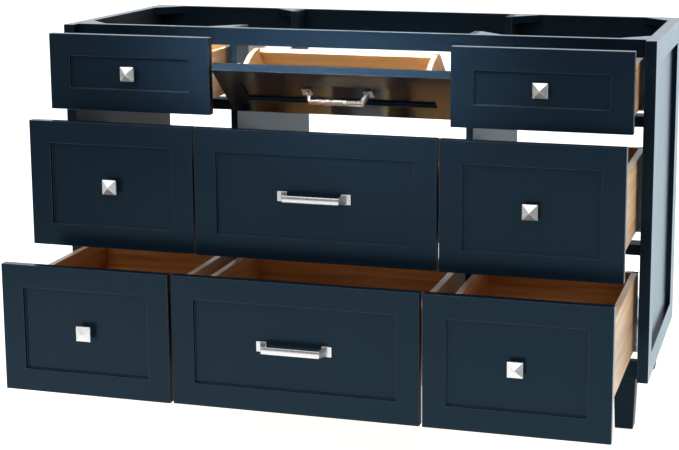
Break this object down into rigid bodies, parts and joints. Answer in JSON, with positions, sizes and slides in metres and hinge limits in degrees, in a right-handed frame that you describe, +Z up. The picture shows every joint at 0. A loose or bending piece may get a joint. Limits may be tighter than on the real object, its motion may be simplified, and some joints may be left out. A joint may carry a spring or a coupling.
{
  "type": "bathroom vanity cabinet",
  "caption": "Navy bathroom vanity cabinet without a countertop: eight drawers on concealed slides, a tilt-out tray over the drain, framed fronts and sides, and tapered legs.",
  "frame": {"origin": "centre of the whole object's footprint with its drawers and tray as open as they stand at rest, on the floor", "axes": "+X to the right as seen from the front, +Y to the back, +Z up"},
  "size_m": [1.397, 0.951, 0.889],
  "materials": {
    "lacquer": "satin navy lacquer",
    "carcass": "satin navy lacquer",
    "wood": "clear-coated light hardwood",
    "nickel": "brushed satin nickel",
    "zinc": "zinc-plated steel"
  },
  "bodies": {
    "root": {"side_frame_left": "carcass", "side_frame_right": "carcass", "side_panels": "carcass", "partition_left": "carcass", "partition_right": "carcass", "top_front_rail": "carcass", "top_back_rail": "carcass", "upper_rails": "carcass", "lower_rails": "carcass", "bottom_rails": "carcass", "corner_blocks": "carcass", "legs": "carcass", "cabinet_slides": "zinc", "tray_hinge_plates": "zinc"},
    "top_left": {"top_left_front": "lacquer", "top_left_box": "wood", "top_left_knob": "nickel", "top_left_runners": "zinc"},
    "top_left_slide": {"top_left_slides": "zinc"},
    "top_right": {"top_right_front": "lacquer", "top_right_box": "wood", "top_right_knob": "nickel", "top_right_runners": "zinc"},
    "top_right_slide": {"top_right_slides": "zinc"},
    "mid_left": {"mid_left_front": "lacquer", "mid_left_box": "wood", "mid_left_knob": "nickel", "mid_left_runners": "zinc"},
    "mid_left_slide": {"mid_left_slides": "zinc"},
    "mid_centre": {"mid_centre_front": "lacquer", "mid_centre_box": "wood", "mid_centre_pull": "nickel", "mid_centre_runners": "zinc"},
    "mid_centre_slide": {"mid_centre_slides": "zinc"},
    "mid_right": {"mid_right_front": "lacquer", "mid_right_box": "wood", "mid_right_knob": "nickel", "mid_right_runners": "zinc"},
    "mid_right_slide": {"mid_right_slides": "zinc"},
    "low_left": {"low_left_front": "lacquer", "low_left_box": "wood", "low_left_knob": "nickel", "low_left_runners": "zinc"},
    "low_left_slide": {"low_left_slides": "zinc"},
    "low_centre": {"low_centre_front": "lacquer", "low_centre_box": "wood", "low_centre_pull": "nickel", "low_centre_runners": "zinc"},
    "low_centre_slide": {"low_centre_slides": "zinc"},
    "low_right": {"low_right_front": "lacquer", "low_right_box": "wood", "low_right_knob": "nickel", "low_right_runners": "zinc"},
    "low_right_slide": {"low_right_slides": "zinc"},
    "tray": {"tray_front": "lacquer", "tray_box": "wood", "tray_pull": "nickel", "tray_hinge_leaves": "zinc"},
    "stay_rear": {"tray_stay_rear": "zinc"},
    "stay_front": {"tray_stay_front": "zinc"}
  },
  "joints": [
    {"name": "top_left_travel", "type": "slide", "parent": "root", "child": "top_left", "axis": [0, -1, 0], "range_m": [-0.131, 0.259]},
    {"name": "top_left_slide_travel", "type": "slide", "parent": "root", "child": "top_left_slide", "axis": [0, -1, 0], "range_m": [-0.0655, 0.1295]},
    {"name": "top_right_travel", "type": "slide", "parent": "root", "child": "top_right", "axis": [0, -1, 0], "range_m": [-0.148, 0.242]},
    {"name": "top_right_slide_travel", "type": "slide", "parent": "root", "child": "top_right_slide", "axis": [0, -1, 0], "range_m": [-0.074, 0.121]},
    {"name": "mid_left_travel", "type": "slide", "parent": "root", "child": "mid_left", "axis": [0, -1, 0], "range_m": [-0.239, 0.151]},
    {"name": "mid_left_slide_travel", "type": "slide", "parent": "root", "child": "mid_left_slide", "axis": [0, -1, 0], "range_m": [-0.1195, 0.0755]},
    {"name": "mid_centre_travel", "type": "slide", "parent": "root", "child": "mid_centre", "axis": [0, -1, 0], "range_m": [-0.243, 0.147]},
    {"name": "mid_centre_slide_travel", "type": "slide", "parent": "root", "child": "mid_centre_slide", "axis": [0, -1, 0], "range_m": [-0.1215, 0.0735]},
    {"name": "mid_right_travel", "type": "slide", "parent": "root", "child": "mid_right", "axis": [0, -1, 0], "range_m": [-0.247, 0.143]},
    {"name": "mid_right_slide_travel", "type": "slide", "parent": "root", "child": "mid_right_slide", "axis": [0, -1, 0], "range_m": [-0.1235, 0.0715]},
    {"name": "low_left_travel", "type": "slide", "parent": "root", "child": "low_left", "axis": [0, -1, 0], "range_m": [-0.388, 0.002]},
    {"name": "low_left_slide_travel", "type": "slide", "parent": "root", "child": "low_left_slide", "axis": [0, -1, 0], "range_m": [-0.194, 0.001]},
    {"name": "low_centre_travel", "type": "slide", "parent": "root", "child": "low_centre", "axis": [0, -1, 0], "range_m": [-0.385, 0.005]},
    {"name": "low_centre_slide_travel", "type": "slide", "parent": "root", "child": "low_centre_slide", "axis": [0, -1, 0], "range_m": [-0.1925, 0.0025]},
    {"name": "low_right_travel", "type": "slide", "parent": "root", "child": "low_right", "axis": [0, -1, 0], "range_m": [-0.386, 0.004]},
    {"name": "low_right_slide_travel", "type": "slide", "parent": "root", "child": "low_right_slide", "axis": [0, -1, 0], "range_m": [-0.193, 0.002]},
    {"name": "tray_tilt", "type": "hinge", "parent": "root", "child": "tray", "pos_m": [0, -0.0575, 0.7035], "axis": [1, 0, 0], "range_deg": [-50, 0]},
    {"name": "stay_rear_turn", "type": "hinge", "parent": "root", "child": "stay_rear", "pos_m": [0, -0.0045, 0.745], "axis": [1, 0, 0], "range_deg": [-51.48, 1]},
    {"name": "stay_front_turn", "type": "hinge", "parent": "stay_rear", "child": "stay_front", "pos_m": [0, -0.04094, 0.80241], "axis": [1, 0, 0], "range_deg": [-1, 50.39]}
  ],
  "couplings": [
    {"joint": "top_left_slide_travel", "follows": "top_left_travel", "ratio": 0.5},
    {"joint": "top_right_slide_travel", "follows": "top_right_travel", "ratio": 0.5},
    {"joint": "mid_left_slide_travel", "follows": "mid_left_travel", "ratio": 0.5},
    {"joint": "mid_centre_slide_travel", "follows": "mid_centre_travel", "ratio": 0.5},
    {"joint": "mid_right_slide_travel", "follows": "mid_right_travel", "ratio": 0.5},
    {"joint": "low_left_slide_travel", "follows": "low_left_travel", "ratio": 0.5},
    {"joint": "low_centre_slide_travel", "follows": "low_centre_travel", "ratio": 0.5},
    {"joint": "low_right_slide_travel", "follows": "low_right_travel", "ratio": 0.5},
    {"joint": "stay_rear_turn", "follows": "tray_tilt", "ratio": 1.0195},
    {"joint": "stay_front_turn", "follows": "tray_tilt", "ratio": -0.9978}
  ]
}
